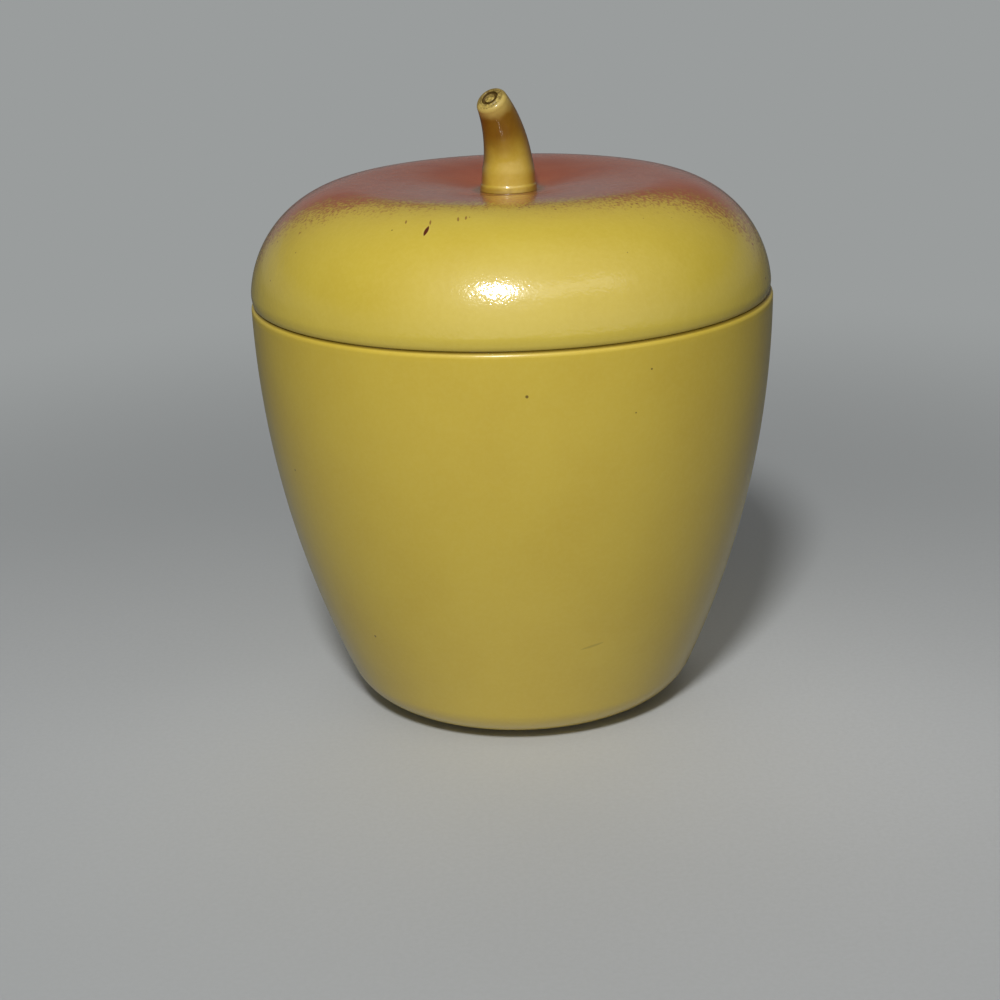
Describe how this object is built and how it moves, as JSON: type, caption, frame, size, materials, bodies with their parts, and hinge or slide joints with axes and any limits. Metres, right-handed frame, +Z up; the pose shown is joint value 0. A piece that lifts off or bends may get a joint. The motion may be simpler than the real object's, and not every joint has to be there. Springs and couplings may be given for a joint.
{
  "type": "jam pot",
  "caption": "Glazed earthenware jam pot shaped like an apple, with a lift-off domed lid, dished crown and bent stalk handle.",
  "frame": {"origin": "on the table under the middle of the foot ring", "axes": "+Z up through the stalk, -Y to the front that the picture shows"},
  "size_m": [0.092, 0.092, 0.1102],
  "materials": {
    "pot_glaze": "satin yellow glaze",
    "lid_glaze": "gloss yellow glaze with a sprayed pinkish red blush",
    "stalk_glaze": "gloss yellow glaze, ochre towards the tip"
  },
  "bodies": {
    "pot": {"pot": "pot_glaze"},
    "lid": {"lid": "lid_glaze", "stalk": "stalk_glaze"}
  },
  "joints": [
    {"name": "lid_lift", "type": "slide", "parent": "pot", "child": "lid", "axis": [0, 0, 1], "range_m": [0, 0.06]}
  ]
}
